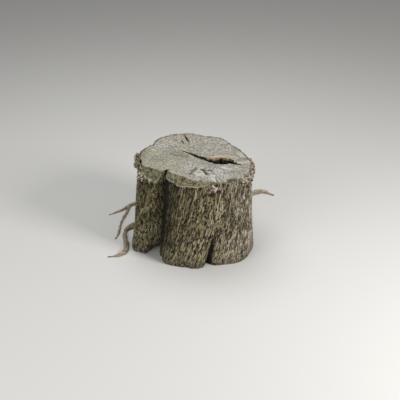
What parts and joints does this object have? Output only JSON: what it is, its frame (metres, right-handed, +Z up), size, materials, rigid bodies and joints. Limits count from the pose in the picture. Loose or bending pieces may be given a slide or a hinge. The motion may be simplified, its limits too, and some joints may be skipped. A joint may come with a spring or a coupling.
{
  "type": "tree stump",
  "caption": "Sawn tree stump with ridged bark, a deep crease, a cracked cut face, burls on the rim and thin surface roots; stands on a flat underside.",
  "frame": {"origin": "on the ground plane, on the axis of the trunk, in the middle of the flat underside", "axes": "+Z up along the trunk, +X to the side where the saw cut is lowest, -Y to the side with the deep crease and the chamfered rim"},
  "size_m": [0.971, 0.8485, 0.5226],
  "materials": {
    "stump_wood": "weathered bark and grey sawn wood, rough and dry"
  },
  "bodies": {
    "root": {"tree_stump": "stump_wood"}
  },
  "joints": []
}
